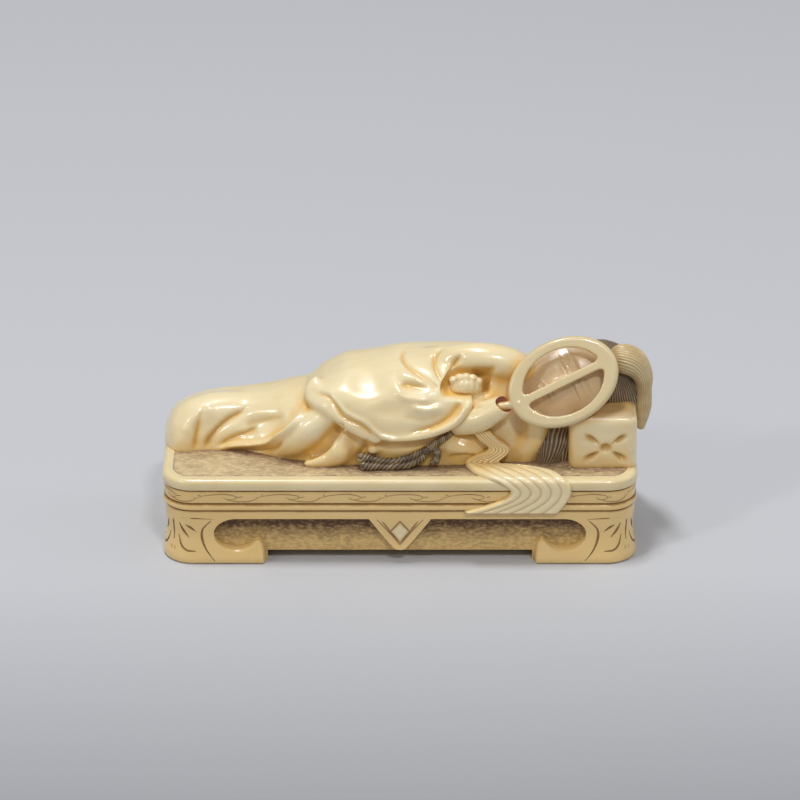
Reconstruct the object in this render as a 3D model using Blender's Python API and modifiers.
"""A carved ivory netsuke: a robed figure asleep on a low couch, with a fan over the face.

The whole carving is one piece of ivory, so it is one solid. Sizes are in millimetres until
the finished mesh is scaled to metres. X runs along the couch towards the pillow, the front
of the couch faces -Y, and Z = 0 is the ground.

The figure is a free form. Its masses and folds are laid out in figure units, shares of its
own length, as a carver sees them: across, up the picture and in depth, looking from the
front and from 25 degrees above.
"""

import math

import bmesh
import bpy
import numpy as np
from mathutils import Matrix, Vector

MM = 0.001

# Couch
COUCH_LENGTH = 56.4
COUCH_WIDTH = 20.0
COUCH_HEIGHT = 11.1
CORNER_RADIUS = 3.7
CORNER_STEPS = 7
RIM_HEIGHT = 1.45
RIM_ROUNDING = 0.45
FRIEZE_HEIGHT = 1.5
FRIEZE_INSET = 0.3
BEAD_HEIGHT = 0.75
GROOVE_HEIGHT = 0.16
GROOVE_DEPTH = 0.5
APRON_HEIGHT = 1.1
LEG_WAIST = 0.45
FOOT_ROUNDING = 0.35

# Openings under the apron
RECESS_DEPTH = 1.4
CORE_CLEARANCE = 1.3
FOOT_DEPTH = 2.6
FRONT_FOOT_LENGTH = 12.0
FRONT_SCROLL_SETBACK = 6.1
END_FOOT_LENGTH = 6.6
END_SCROLL_SETBACK = 3.4
TOE_HEIGHT = 2.9
TOE_TIP = 0.9
PENDANT_WIDTH = 7.4
PENDANT_TIP_WIDTH = 1.35
PENDANT_DROP = 4.0
DIAMOND_WIDTH = 2.0
DIAMOND_HEIGHT = 2.6
DIAMOND_RELIEF = 0.3

# Cord channel in the underside
CORD_HOLE = 2.6
CORD_HOLE_SPACING = 9.0

# Pillow
PILLOW_LENGTH = 8.1
PILLOW_WIDTH = 12.5
PILLOW_HEIGHT = 6.75
PILLOW_END_GAP = 0.25
PILLOW_FRONT_SETBACK = 3.5
PILLOW_ROUNDING = 0.8
PILLOW_SINK = 0.8
TUFT_RISE = 2.7
TUFT_REACH_X = 2.4
TUFT_REACH_Z = 1.6
TUFT_DEPTH = 0.45
TUFT_WIDTH = 0.6

# Fan, drawn in its own plane
FAN_LENGTH = 13.7
FAN_WIDTH = 10.2
FAN_RIM = 1.25
FAN_THICKNESS = 1.1
FAN_SPINE = 0.6
FAN_ROLL = 26.0
FAN_LEAN = 28.0
FAN_HANDLE = 1.3

# Sash over the front of the couch
SASH_THICKNESS = 0.8
SASH_LIFT = 0.15
SASH_STEPS = 40
ROBE_FRONT = -6.1

# Figure
FIGURE_LENGTH = 58.4
FIGURE_UNITS = 58.4
VIEW = math.radians(25.0)
VOXEL = 0.28
SMOOTH_PASSES = 4
FIGURE_TRIANGLES = 4800

UNIT = FIGURE_LENGTH / FIGURE_UNITS
IVORY = (0.80, 0.69, 0.48, 1.0)


def seen(across, up, depth):
    """Place a point given as seen from the front, in figure units, on the couch top."""
    rise = (up - depth * math.sin(VIEW)) / math.cos(VIEW)
    return Vector((across * UNIT, depth * UNIT, COUCH_HEIGHT + rise * UNIT))


def smooth_table(table, places):
    """Read a table of rows that start with their place, smoothly, at the places given."""
    rows = np.array(table, dtype=float)
    slopes = np.gradient(rows[:, 1:], rows[:, 0], axis=0)
    index = np.clip(np.searchsorted(rows[:, 0], places) - 1, 0, len(rows) - 2)
    span = (rows[index + 1, 0] - rows[index, 0])[:, None]
    part = (np.asarray(places)[:, None] - rows[index, 0][:, None]) / span
    start, end = rows[index, 1:], rows[index + 1, 1:]
    start_slope, end_slope = slopes[index] * span, slopes[index + 1] * span
    return (
        start * (1 + 2 * part) * (1 - part) ** 2
        + end * (3 - 2 * part) * part ** 2
        + start_slope * part * (1 - part) ** 2
        + end_slope * (part - 1) * part ** 2
    )


def smooth_path(points, count):
    """Read a smooth path of count points through the points given."""
    steps = np.linspace(0, len(points) - 1, count)
    table = [(index, *point) for index, point in enumerate(points)]
    return smooth_table(table, steps)


def mesh_object(name, verts, faces):
    mesh = bpy.data.meshes.new(name)
    mesh.from_pydata([tuple(v) for v in verts], [], faces)
    mesh.update()
    return link(bpy.data.objects.new(name, mesh))


def link(obj):
    bpy.data.collections["netsuke"].objects.link(obj)
    return obj


def loft(name, rings):
    """Join rings of as many points each into one closed body with flat ends."""
    count = len(rings[0])
    faces = []
    for level in range(len(rings) - 1):
        for side in range(count):
            low, high = level * count, (level + 1) * count
            after = (side + 1) % count
            faces.append((low + side, low + after, high + after, high + side))
    last = (len(rings) - 1) * count
    faces.append(tuple(range(count))[::-1])
    faces.append(tuple(range(last, last + count)))
    obj = mesh_object(name, [point for ring in rings for point in ring], faces)
    face_out(obj)
    return obj


def face_out(obj):
    mesh = bmesh.new()
    mesh.from_mesh(obj.data)
    bmesh.ops.recalc_face_normals(mesh, faces=mesh.faces)
    mesh.to_mesh(obj.data)
    mesh.free()


def ellipsoid(name, centre, radii, roll=0.0, lean=0.0):
    """Add an ellipsoid, rolled in the picture and leaned back from it, in degrees."""
    mesh = bmesh.new()
    turn = Matrix.Rotation(-math.radians(lean), 4, "X") @ Matrix.Rotation(-math.radians(roll), 4, "Y")
    place = Matrix.Translation(centre) @ turn @ Matrix.Diagonal((*[r * UNIT for r in radii], 1.0))
    bmesh.ops.create_uvsphere(mesh, u_segments=40, v_segments=24, radius=1.0, matrix=place)
    data = bpy.data.meshes.new(name)
    mesh.to_mesh(data)
    mesh.free()
    return link(bpy.data.objects.new(name, data))


def tube(name, points, count=14, resolution=5):
    """Add a closed round tube through points that each end with their radius."""
    path = smooth_path(points, count)
    curve = bpy.data.curves.new(name, "CURVE")
    curve.dimensions = "3D"
    curve.bevel_depth = 1.0
    curve.bevel_resolution = resolution
    curve.use_fill_caps = True
    spline = curve.splines.new("POLY")
    spline.points.add(count - 1)
    for point, (x, y, z, radius) in zip(spline.points, path):
        point.co = (x, y, z, 1.0)
        point.radius = radius * UNIT
    source = link(bpy.data.objects.new(name + "_curve", curve))
    graph = bpy.context.evaluated_depsgraph_get()
    data = bpy.data.meshes.new_from_object(source.evaluated_get(graph))
    bpy.data.objects.remove(source)
    mesh = bmesh.new()
    mesh.from_mesh(data)
    bmesh.ops.remove_doubles(mesh, verts=mesh.verts, dist=0.001)
    bmesh.ops.recalc_face_normals(mesh, faces=mesh.faces)
    mesh.to_mesh(data)
    mesh.free()
    return link(bpy.data.objects.new(name, data))


def seen_tube(name, points, **options):
    """Add a tube through points given as seen from the front, each with its radius."""
    return tube(name, [(*seen(*point[:3]), point[3]) for point in points], **options)


def combine(obj, others):
    """Put the others' meshes into obj without joining their surfaces."""
    mesh = bmesh.new()
    mesh.from_mesh(obj.data)
    for other in others:
        mesh.from_mesh(other.data)
        bpy.data.objects.remove(other)
    mesh.to_mesh(obj.data)
    mesh.free()
    return obj


def apply_modifiers(obj):
    graph = bpy.context.evaluated_depsgraph_get()
    data = bpy.data.meshes.new_from_object(obj.evaluated_get(graph))
    obj.modifiers.clear()
    obj.data = data


def remesh(obj, voxel):
    modifier = obj.modifiers.new("Remesh", "REMESH")
    modifier.mode = "VOXEL"
    modifier.voxel_size = voxel
    apply_modifiers(obj)


def boolean(obj, other, operation):
    modifier = obj.modifiers.new(operation.title(), "BOOLEAN")
    modifier.operation = operation
    modifier.solver = "EXACT"
    modifier.object = other
    apply_modifiers(obj)
    bpy.data.objects.remove(other)


def prism(name, outline, low, high, place):
    """Extrude a flat outline between two heights, with place giving each point its position."""
    rings = [[place(a, b, height) for a, b in outline] for height in (low, high)]
    return loft(name, rings)


def box(name, low, high):
    outline = [(low[0], low[1]), (high[0], low[1]), (high[0], high[1]), (low[0], high[1])]
    return prism(name, outline, low[2], high[2], lambda a, b, height: (a, b, height))


def arc(centre, radii, start, end, steps):
    angles = np.radians(np.linspace(start, end, steps))
    return [(centre[0] + radii[0] * math.cos(a), centre[1] + radii[1] * math.sin(a)) for a in angles]


# Couch


def couch_ring(inset, height):
    """One level of the couch: a rectangle with round corners, drawn inward by the inset."""
    radius = CORNER_RADIUS - inset
    reach_x = COUCH_LENGTH / 2 - CORNER_RADIUS
    reach_y = COUCH_WIDTH / 2 - CORNER_RADIUS
    ring = []
    for corner, (side_x, side_y) in enumerate(((1, 1), (-1, 1), (-1, -1), (1, -1))):
        centre = (side_x * reach_x, side_y * reach_y)
        ring += arc(centre, (radius, radius), corner * 90, corner * 90 + 90, CORNER_STEPS)
    return [(x, y, height) for x, y in ring]


def couch_levels():
    """Each level of the couch from the ground up, as inset and height."""
    rim_low = COUCH_HEIGHT - RIM_HEIGHT
    frieze_high = rim_low - GROOVE_HEIGHT
    frieze_low = frieze_high - FRIEZE_HEIGHT
    bead_high = frieze_low - GROOVE_HEIGHT
    bead_low = bead_high - BEAD_HEIGHT
    apron_high = bead_low - GROOVE_HEIGHT
    apron_low = apron_high - APRON_HEIGHT
    levels = [
        (FOOT_ROUNDING, 0.0),
        (FOOT_ROUNDING * 0.3, FOOT_ROUNDING * 0.5),
        (0.0, FOOT_ROUNDING * 1.6),
        (LEG_WAIST * 0.35, apron_low * 0.3),
        (LEG_WAIST, apron_low * 0.62),
        (LEG_WAIST * 0.75, apron_low * 0.9),
        (FRIEZE_INSET, apron_low),
        (FRIEZE_INSET, apron_high),
        (GROOVE_DEPTH, apron_high + GROOVE_HEIGHT * 0.5),
        (FRIEZE_INSET, bead_low),
        (0.05, bead_low + BEAD_HEIGHT * 0.3),
        (0.05, bead_low + BEAD_HEIGHT * 0.7),
        (FRIEZE_INSET, bead_high),
        (GROOVE_DEPTH, bead_high + GROOVE_HEIGHT * 0.5),
        (FRIEZE_INSET, frieze_low),
        (FRIEZE_INSET, frieze_high),
        (GROOVE_DEPTH, frieze_high + GROOVE_HEIGHT * 0.5),
        (0.05, rim_low),
        (0.0, rim_low + RIM_HEIGHT * 0.3),
    ]
    for angle in np.radians((30, 60, 90)):
        inset = RIM_ROUNDING * (1 - math.cos(angle))
        levels.append((inset, COUCH_HEIGHT - RIM_ROUNDING * (1 - math.sin(angle))))
    return levels, apron_low


def scroll_end(foot_length, setback, half_length, apron_low):
    """The left end of an opening, from the foot's tip up round the scroll to the apron."""
    toe = -half_length + foot_length
    back = -half_length + setback
    middle = (apron_low + TOE_TIP * 2) / 2
    round_x = (foot_length - setback) * 0.45
    foot = [
        (toe + TOE_TIP * 0.2, -1.0),
        (toe + TOE_TIP * 0.2, 0.0),
        (toe + TOE_TIP * 0.5, TOE_TIP),
        (toe, TOE_HEIGHT * 0.66),
        (toe - TOE_TIP, TOE_HEIGHT),
        (toe - TOE_TIP * 1.3, TOE_HEIGHT * 0.9),
    ]
    curl = arc((back + round_x, middle), (round_x, apron_low - middle), 300, 90, 12)
    return foot + curl


def front_opening(apron_low):
    """The left half of the opening in the front, ending at the pendant."""
    outline = scroll_end(FRONT_FOOT_LENGTH, FRONT_SCROLL_SETBACK, COUCH_LENGTH / 2, apron_low)
    tip = apron_low - PENDANT_DROP
    outline += [
        (-PENDANT_WIDTH / 2, apron_low),
        (-PENDANT_TIP_WIDTH / 2, tip),
        (0.0, tip),
        (0.0, -1.0),
    ]
    return outline


def end_opening(apron_low):
    """The left half of the opening in an end."""
    outline = scroll_end(END_FOOT_LENGTH, END_SCROLL_SETBACK, COUCH_WIDTH / 2, apron_low)
    return outline + [(0.0, apron_low), (0.0, -1.0)]


def cut_openings(couch, apron_low):
    outside = 1.0
    for side in (-1, 1):
        wall = COUCH_WIDTH / 2 - RECESS_DEPTH
        face = COUCH_WIDTH / 2 + outside
        for half in (-1, 1):
            cutter = prism(
                "opening", front_opening(apron_low), wall, face,
                lambda a, b, height: (half * a, side * height, b),
            )
            boolean(couch, cutter, "DIFFERENCE")
        wall = COUCH_LENGTH / 2 - RECESS_DEPTH
        face = COUCH_LENGTH / 2 + outside
        for half in (-1, 1):
            cutter = prism(
                "end_opening", end_opening(apron_low), wall, face,
                lambda a, b, height: (side * height, half * a, b),
            )
            boolean(couch, cutter, "DIFFERENCE")


def cut_underside(couch):
    """Raise the underside between the feet, and behind them."""
    outside = 1.0
    reach_x = COUCH_LENGTH / 2 - FRONT_FOOT_LENGTH - TOE_TIP * 0.5
    reach_y = COUCH_WIDTH / 2 - END_FOOT_LENGTH - TOE_TIP * 0.5
    full_x = COUCH_LENGTH / 2 + outside
    full_y = COUCH_WIDTH / 2 + outside
    between = box("between_feet", (-reach_x, -full_y, -outside), (reach_x, full_y, CORE_CLEARANCE))
    boolean(couch, between, "DIFFERENCE")
    behind = box("between_ends", (-full_x, -reach_y, -outside), (full_x, reach_y, CORE_CLEARANCE))
    boolean(couch, behind, "DIFFERENCE")
    rings = [couch_ring(FOOT_DEPTH, height) for height in (-outside, CORE_CLEARANCE)]
    boolean(couch, loft("behind_feet", rings), "DIFFERENCE")


def cut_cord_channel(couch):
    """Two round holes in the underside that meet in an arched channel."""
    reach = CORD_HOLE_SPACING / 2
    angles = np.radians(np.linspace(-20, 200, 15))
    radius = CORD_HOLE / 2 / UNIT
    arch = [
        (reach * math.cos(a), 0.0, CORE_CLEARANCE + reach * math.sin(a), radius)
        for a in angles
    ]
    boolean(couch, tube("cord_channel", arch, count=15), "DIFFERENCE")


def build_couch():
    levels, apron_low = couch_levels()
    couch = loft("netsuke", [couch_ring(inset, height) for inset, height in levels])
    cut_openings(couch, apron_low)
    cut_underside(couch)
    cut_cord_channel(couch)
    middle = apron_low - PENDANT_DROP * 0.42
    outline = [
        (-DIAMOND_WIDTH / 2, middle),
        (0.0, middle - DIAMOND_HEIGHT / 2),
        (DIAMOND_WIDTH / 2, middle),
        (0.0, middle + DIAMOND_HEIGHT / 2),
    ]
    face = COUCH_WIDTH / 2 - FRIEZE_INSET
    for side in (-1, 1):
        diamond = prism(
            "diamond", outline, face - RECESS_DEPTH * 0.5, face + DIAMOND_RELIEF,
            lambda a, b, height: (a, side * height, b),
        )
        boolean(couch, diamond, "UNION")
    return couch


# Figure

# Each row of the body: across, front, back, and height above the couch.
BODY = (
    (-28.2, 0.4, 3.4, 1.6),
    (-27.4, -0.8, 5.0, 3.7),
    (-25.8, -1.8, 6.4, 5.3),
    (-22.5, -1.2, 7.2, 6.6),
    (-18.5, -0.9, 7.7, 7.1),
    (-13.5, -3.2, 7.9, 7.3),
    (-9.0, -5.2, 8.0, 8.4),
    (-4.0, -5.9, 8.0, 10.6),
    (2.0, -6.0, 8.0, 11.5),
    (8.0, -5.6, 7.9, 12.0),
    (13.0, -4.9, 7.6, 11.6),
    (17.0, -4.2, 7.0, 9.6),
    (19.5, -3.2, 6.4, 7.4),
)

# Each row of the upper sleeve: across, its hem's depth and height, its ridge, its back.
SLEEVE = (
    (-11.5, -1.6, 7.0, 8.0, 5.0),
    (-10.8, -2.8, 7.1, 9.3, 7.0),
    (-9.2, -4.3, 6.6, 10.6, 8.0),
    (-7.0, -5.8, 5.8, 11.5, 8.4),
    (-5.0, -6.7, 4.9, 11.9, 8.5),
    (-3.0, -7.2, 3.9, 12.1, 8.5),
    (0.5, -7.3, 3.6, 12.2, 8.5),
    (3.0, -7.2, 3.9, 12.3, 8.5),
    (5.0, -6.9, 4.6, 12.4, 8.4),
    (7.0, -6.4, 5.9, 12.4, 8.3),
    (8.6, -5.9, 7.3, 12.3, 8.2),
)

# The lining shows past the hem on the left: across, depth, height, ridge, back.
LINING = (
    (-11.9, -1.0, 6.3, 7.6, 4.4),
    (-11.2, -2.3, 6.3, 8.8, 6.4),
    (-9.6, -4.2, 5.6, 10.0, 7.4),
    (-7.4, -5.6, 4.7, 10.8, 7.8),
    (-5.2, -6.4, 3.9, 11.2, 7.9),
    (-2.6, -6.8, 3.2, 11.4, 7.9),
)

# Each fold: how deep it cuts, its half width, and its way as seen from the front.
FOLDS = (
    (0.55, 0.45, ((-23.2, 3.1), (-23.9, 1.4), (-24.4, -0.4))),
    (0.75, 0.50, ((-18.5, 4.3), (-21.6, 2.3), (-23.1, -0.2))),
    (0.45, 0.60, ((-17.3, 2.0), (-19.8, 1.3), (-21.5, 0.1))),
    (0.80, 1.10, ((-14.4, 4.0), (-17.5, 3.2), (-20.0, 2.2))),
    (-0.55, 0.55, ((-21.7, -0.5), (-16.2, 0.4), (-12.6, 2.5), (-11.4, 4.2))),
    (0.50, 0.45, ((-20.4, -1.0), (-17.0, -1.1), (-14.6, 0.1))),
    (0.80, 0.55, ((-10.6, -1.5), (-8.6, 0.1), (-6.8, 2.3))),
    (0.60, 0.45, ((-3.6, 0.3), (-4.7, -0.3), (-5.2, -1.4))),
    (0.70, 0.70, ((-0.5, 7.6), (0.0, 6.3), (1.7, 5.7), (4.0, 6.2))),
    (-0.50, 0.80, ((-0.9, 8.8), (1.2, 8.6), (4.6, 6.5))),
    (0.60, 0.60, ((0.0, 11.4), (0.5, 9.8), (1.9, 9.0))),
    (0.45, 0.40, ((4.8, 11.8), (3.9, 11.0), (4.3, 9.6))),
    (0.80, 0.50, ((7.1, 10.8), (6.2, 9.2), (4.7, 6.8))),
)

# The hollow in front of the chest, as dabs: across, up, half width, half height, depth.
HOLLOWS = (
    (6.6, 7.2, 2.3, 1.7, 1.5),
    (9.4, 7.4, 2.4, 1.9, 1.9),
    (12.0, 5.8, 2.0, 2.0, 1.5),
    (-16.2, 4.6, 2.6, 1.3, 0.5),
)


def arch_ring(across, front, back, height, base):
    """One round-topped section of the body, closed below the couch top."""
    centre, half = (front + back) / 2, (back - front) / 2
    angles = np.radians(np.linspace(180, 0, 22))
    ring = [(centre, base)]
    for angle in angles:
        y = centre + half * math.copysign(abs(math.cos(angle)) ** 0.8, math.cos(angle))
        ring.append((y, height * math.sin(angle) ** 0.8))
    ring.insert(1, (front, base))
    ring.append((back, base))
    return [(across * UNIT, y * UNIT, COUCH_HEIGHT + z * UNIT) for y, z in ring]


def sleeve_ring(across, front, hem, height, back):
    """One section of the sleeve, from its hem over the ridge to the back, and closed inside."""
    ridge, inside = 1.2, 2.6
    ring = []
    for angle in np.radians(np.linspace(0, 90, 14)):
        y = ridge + (front - ridge) * math.cos(angle) ** 0.75
        ring.append((y, hem + (height - hem) * math.sin(angle) ** 0.9))
    for angle in np.radians(np.linspace(84, 0, 12)):
        y = ridge + (back - ridge) * math.cos(angle) ** 0.8
        ring.append((y, height * math.sin(angle) ** 0.8))
    ring.append((back - inside, 0.0))
    ring.append((ridge, hem + (height - hem) * 0.25))
    ring.append((front + inside, hem + 0.4))
    return [(across * UNIT, y * UNIT, COUCH_HEIGHT + z * UNIT) for y, z in ring]


def table_loft(name, table, ring, count):
    places = np.linspace(table[0][0], table[-1][0], count)
    rows = smooth_table(table, places)
    return loft(name, [ring(place, *row) for place, row in zip(places, rows)])


def body_masses():
    base = -0.8
    masses = [
        table_loft("body", BODY, lambda *row: arch_ring(*row, base), 60),
        table_loft("sleeve", SLEEVE, sleeve_ring, 44),
        table_loft("lining", LINING, sleeve_ring, 26),
        seen_tube("feet", ((-25.6, 1.5, 0.9, 2.3), (-24.6, 3.2, 1.2, 2.6), (-21.5, 4.4, 1.4, 2.2))),
        seen_tube("fold_mass", (
            (-9.6, 3.6, -3.0, 1.9), (-12.2, 1.6, -2.2, 2.1), (-14.6, -0.4, -1.6, 1.5))),
        seen_tube("drape", (
            (-6.2, 1.8, -5.0, 1.3), (-7.6, -0.2, -5.3, 1.6), (-9.2, -1.5, -5.7, 1.1),
            (-11.0, -2.0, -6.2, 0.55))),
        seen_tube("drape_right", ((-4.6, 1.0, -4.9, 1.2), (-5.6, -0.8, -5.4, 1.3), (-6.6, -1.9, -5.6, 0.8))),
        seen_tube("hem_roll", (
            (-4.0, 1.15, -6.9, 0.45), (-1.2, 0.75, -7.1, 0.55), (2.6, 0.95, -7.1, 0.6),
            (5.4, 1.9, -6.8, 0.65), (7.6, 3.6, -6.4, 0.7), (8.4, 5.2, -5.9, 0.6))),
        seen_tube("shoulder", (
            (3.4, 10.2, 0.6, 1.2), (6.4, 10.1, -1.2, 1.6), (9.8, 10.1, -1.8, 1.7),
            (12.8, 9.4, -1.9, 1.6), (15.6, 8.2, -1.2, 1.4))),
        seen_tube("knee", ((9.8, -0.9, -4.6, 1.2), (7.6, 0.2, -5.0, 1.3), (5.4, -0.6, -5.0, 0.9))),
        seen_tube("chest", ((14.6, -1.6, -3.6, 1.5), (15.8, 1.0, -3.8, 1.7), (16.2, 3.4, -3.6, 1.8))),
    ]
    return combine(masses[0], masses[1:])


def late_masses():
    """The parts that stand in or over the folds: hands, head, hair and cord."""
    masses = [
        ellipsoid("fist", seen(7.5, 6.9, -3.4), (2.0, 1.5, 1.7), roll=-4),
        seen_tube("wrist", ((9.8, 5.2, -3.4, 1.3), (7.6, 5.5, -3.4, 1.5), (5.6, 5.7, -3.2, 1.2))),
        seen_tube("cuff", (
            (6.8, 2.6, -5.0, 1.5), (9.0, 3.2, -5.7, 1.75), (11.2, 4.2, -6.0, 1.5), (12.9, 5.0, -6.1, 1.1))),
        ellipsoid("head", seen(21.2, 7.4, 0.8), (6.9, 4.9, 5.2), roll=FAN_ROLL),
        ellipsoid("face", seen(19.6, 7.4, -1.1), (6.9, 3.0, 5.1), roll=FAN_ROLL, lean=FAN_LEAN),
        ellipsoid("hair", seen(24.6, 7.2, 0.6), (4.2, 4.9, 5.6), roll=FAN_ROLL),
        seen_tube("beard", (
            (18.6, 3.4, -3.2, 2.2), (17.8, 0.4, -3.9, 1.9), (17.4, -1.8, -4.4, 1.3))),
        seen_tube("topknot", (
            (24.8, 10.3, -0.8, 0.9), (26.2, 10.3, -1.1, 1.75), (28.2, 9.5, -1.0, 1.6),
            (28.9, 7.0, -0.8, 0.95), (29.0, 4.4, -0.8, 0.95), (28.7, 1.9, -0.9, 0.5))),
        seen_tube("cord", (
            (5.4, 0.9, -6.0, 0.55), (4.2, 0.2, -6.3, 0.55), (2.7, -0.9, -6.5, 0.55),
            (0.8, -2.0, -6.6, 0.55), (-2.0, -2.3, -6.6, 0.55), (-4.6, -2.0, -6.7, 0.75))),
        seen_tube("cord_loop", (
            (3.2, -0.3, -6.4, 0.5), (4.3, -0.4, -6.5, 0.55), (4.5, -1.9, -6.6, 0.5), (3.9, -2.1, -6.6, 0.4))),
    ]
    return masses


def vertex_frame(obj):
    """Give each vertex's place as seen from the front, its normal, and if it faces front."""
    count = len(obj.data.vertices)
    places = np.empty(count * 3)
    normals = np.empty(count * 3)
    obj.data.vertices.foreach_get("co", places)
    obj.data.vertices.foreach_get("normal", normals)
    places, normals = places.reshape(-1, 3), normals.reshape(-1, 3)
    height = places[:, 2] - COUCH_HEIGHT
    up = height * math.cos(VIEW) + places[:, 1] * math.sin(VIEW)
    facing = -normals[:, 1] * math.cos(VIEW) + normals[:, 2] * math.sin(VIEW)
    flat = np.stack((places[:, 0], up), axis=1) / UNIT
    return flat, places, normals, np.clip(facing * 4, 0, 1)


def stroke_shape(flat, way, half_width):
    """How strongly each point feels a stroke that fades at both ends of its way."""
    path = smooth_path(way, 16)
    best = np.full(len(flat), np.inf)
    along = np.zeros(len(flat))
    for step in range(len(path) - 1):
        start, run = path[step], path[step + 1] - path[step]
        share = np.clip((flat - start) @ run / (run @ run), 0, 1)
        gap = np.linalg.norm(flat - start - share[:, None] * run, axis=1)
        along = np.where(gap < best, (step + share) / (len(path) - 1), along)
        best = np.minimum(best, gap)
    fade = np.clip(4 * along + 0.3, 0, 1) * np.clip(4 * (1 - along) + 0.3, 0, 1)
    return np.exp(-((best / half_width) ** 2)) * fade


def carve(obj):
    """Cut the folds and hollows into the side that faces front."""
    flat, places, normals, facing = vertex_frame(obj)
    push = np.zeros(len(flat))
    for depth, half_width, way in FOLDS:
        push -= depth * stroke_shape(flat, way, half_width)
    for across, up, half_x, half_y, depth in HOLLOWS:
        gap = ((flat[:, 0] - across) / half_x) ** 2 + ((flat[:, 1] - up) / half_y) ** 2
        push -= depth * np.exp(-(gap ** 1.5))
    places = places + normals * (push * facing * UNIT)[:, None]
    obj.data.vertices.foreach_set("co", places.ravel())
    obj.data.update()


def build_figure():
    figure = body_masses()
    remesh(figure, VOXEL)
    carve(figure)
    combine(figure, late_masses())
    remesh(figure, VOXEL)
    smooth = figure.modifiers.new("Smooth", "SMOOTH")
    smooth.factor = 0.5
    smooth.iterations = SMOOTH_PASSES
    apply_modifiers(figure)
    faces = len(figure.data.polygons) * 2
    decimate = figure.modifiers.new("Decimate", "DECIMATE")
    decimate.ratio = FIGURE_TRIANGLES / faces
    apply_modifiers(figure)
    return figure


# Fan, pillow and sash


def fan_place():
    centre = seen(19.26, 7.42, -4.7)
    lean = Matrix.Rotation(-math.radians(FAN_LEAN), 4, "X")
    roll = Matrix.Rotation(-math.radians(FAN_ROLL), 4, "Y")
    return Matrix.Translation(centre) @ lean @ roll


def fan_prism(name, outline, low, high):
    """Extrude an outline of the fan's plane towards the front."""
    place = fan_place()
    return prism(name, outline, low, high, lambda a, b, height: place @ Vector((a, -height, b)))


def fan_opening(side):
    """The window in the fan on one side of its spine."""
    half_length = FAN_LENGTH / 2 - FAN_RIM
    half_width = FAN_WIDTH / 2 - FAN_RIM
    low = FAN_SPINE / 2
    start = math.degrees(math.asin(low / half_width)) + 4
    window = arc((0, 0), (half_length, half_width), start, 180 - start, 20)
    return [(a, side * max(b, low)) for a, b in window]


def build_fan():
    outline = arc((0, 0), (FAN_LENGTH / 2, FAN_WIDTH / 2), 0, 352.5, 48)
    fan = fan_prism("fan", outline, -FAN_THICKNESS / 2, FAN_THICKNESS / 2)
    bevel = fan.modifiers.new("Bevel", "BEVEL")
    bevel.width = FAN_THICKNESS * 0.3
    bevel.segments = 2
    bevel.limit_method = "ANGLE"
    apply_modifiers(fan)
    for side in (-1, 1):
        window = fan_prism("window", fan_opening(side), -FAN_THICKNESS, FAN_THICKNESS)
        boolean(fan, window, "DIFFERENCE")
    place = fan_place()
    radius = FAN_HANDLE / 2 / UNIT
    root = place @ Vector((-FAN_LENGTH / 2 + FAN_RIM * 0.5, 0, 0))
    grip = seen(11.6, 4.6, -6.0)
    handle = tube("handle", ((*root, radius), (*root.lerp(grip, 0.5), radius * 0.8), (*grip, radius)), count=6)
    boolean(fan, handle, "UNION")
    return fan


def build_pillow():
    high_x = COUCH_LENGTH / 2 - PILLOW_END_GAP
    front = -COUCH_WIDTH / 2 + PILLOW_FRONT_SETBACK
    low = (high_x - PILLOW_LENGTH, front, COUCH_HEIGHT - PILLOW_SINK)
    pillow = box("pillow", low, (high_x, front + PILLOW_WIDTH, COUCH_HEIGHT + PILLOW_HEIGHT))
    bevel = pillow.modifiers.new("Bevel", "BEVEL")
    bevel.width = PILLOW_ROUNDING
    bevel.segments = 3
    apply_modifiers(pillow)
    centre = Vector((high_x - PILLOW_LENGTH / 2, front, COUCH_HEIGHT + TUFT_RISE))
    dimple = (TUFT_WIDTH / UNIT, TUFT_DEPTH / UNIT, TUFT_WIDTH * 0.65 / UNIT)
    boolean(pillow, ellipsoid("dimple", centre, dimple), "DIFFERENCE")
    for side_x, side_z in ((-1, -1), (-1, 1), (1, -1), (1, 1)):
        stroke = []
        for share, width in ((0.38, 0.45), (0.7, 0.9), (1.0, 0.4)):
            place = (side_x * TUFT_REACH_X * share, 0, side_z * TUFT_REACH_Z * share)
            stroke.append((*(centre + Vector(place)), TUFT_DEPTH * width / UNIT))
        boolean(pillow, tube("tuft", stroke, count=7, resolution=2), "DIFFERENCE")
    return pillow


# The sash's edges as seen from the front: across at the left and the right edge, and up.
SASH = (
    (8.4, 10.5, 1.7),
    (9.3, 12.2, 0.5),
    (10.0, 13.0, -0.4),
    (8.3, 12.2, -1.3),
    (7.8, 11.7, -2.1),
    (8.6, 14.6, -2.9),
    (10.6, 17.6, -3.7),
    (12.9, 19.4, -4.7),
    (12.6, 19.9, -5.6),
    (10.4, 19.6, -6.7),
    (7.6, 18.8, -7.9),
)


def soft_clip(value, low, high, softness):
    """Hold a value between low and high, easing into both."""
    above_low = softness * math.log1p(math.exp((value - low) / softness))
    above_high = softness * math.log1p(math.exp((value - high) / softness))
    return low + above_low - above_high


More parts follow.
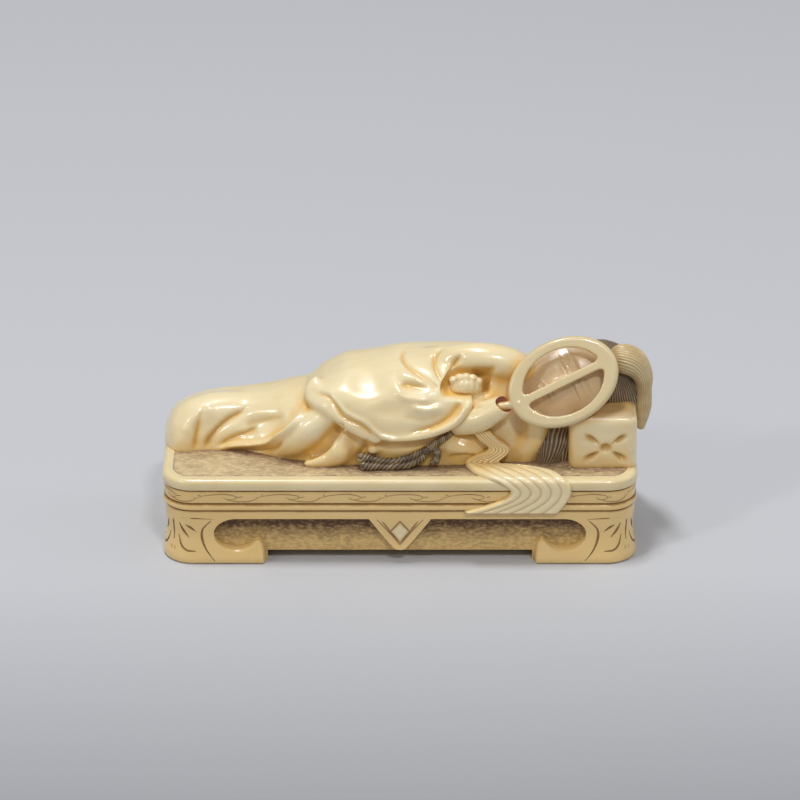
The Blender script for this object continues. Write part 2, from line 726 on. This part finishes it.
def sash_section(left, right, up):
    """One cross strip of the sash, laid on the robe, the couch top or its front face."""
    face = -COUCH_WIDTH / 2 / UNIT - SASH_LIFT
    on_top = (up - SASH_LIFT * math.cos(VIEW)) / math.sin(VIEW)
    depth = soft_clip(on_top, face, ROBE_FRONT, 0.4)
    return seen(left, up, depth), seen(right, up, depth)


def build_sash():
    strips = [sash_section(*row) for row in smooth_path(SASH, SASH_STEPS)]
    middles = [left.lerp(right, 0.5) for left, right in strips]
    rings = []
    for index, (left, right) in enumerate(strips):
        run = middles[min(index + 1, len(middles) - 1)] - middles[max(index - 1, 0)]
        across = Vector((1, 0, 0))
        out = across.cross(run).normalized()
        if out.z < out.y:
            out = -out
        edge = across * SASH_THICKNESS * 0.5
        upper, lower = out * SASH_THICKNESS * 0.5, -out * SASH_THICKNESS * 0.8
        rings.append([
            left + lower, right + lower, right, right - edge + upper,
            left + edge + upper, left,
        ])
    return loft("sash", rings)


def finish(obj):
    """Shade, colour and scale the carving, with the middle of its box over the origin."""
    places = np.array([vertex.co for vertex in obj.data.vertices])
    middle = (places.min(axis=0) + places.max(axis=0)) / 2
    shift = Matrix.Translation((-middle[0], -middle[1], -places[:, 2].min()))
    obj.data.transform(Matrix.Scale(MM, 4) @ shift)
    material = bpy.data.materials.new("ivory")
    material.use_nodes = True
    shader = material.node_tree.nodes["Principled BSDF"]
    shader.inputs["Base Color"].default_value = IVORY
    shader.inputs["Roughness"].default_value = 0.3
    obj.data.materials.clear()
    obj.data.materials.append(material)
    obj.data.shade_smooth()
    obj.data.set_sharp_from_angle(angle=math.radians(35))


def main():
    for obj in list(bpy.data.objects):
        bpy.data.objects.remove(obj)
    collection = bpy.data.collections.new("netsuke")
    bpy.context.scene.collection.children.link(collection)
    netsuke = build_couch()
    boolean(netsuke, build_pillow(), "UNION")
    boolean(netsuke, build_figure(), "UNION")
    boolean(netsuke, build_fan(), "UNION")
    boolean(netsuke, build_sash(), "UNION")
    finish(netsuke)


main()
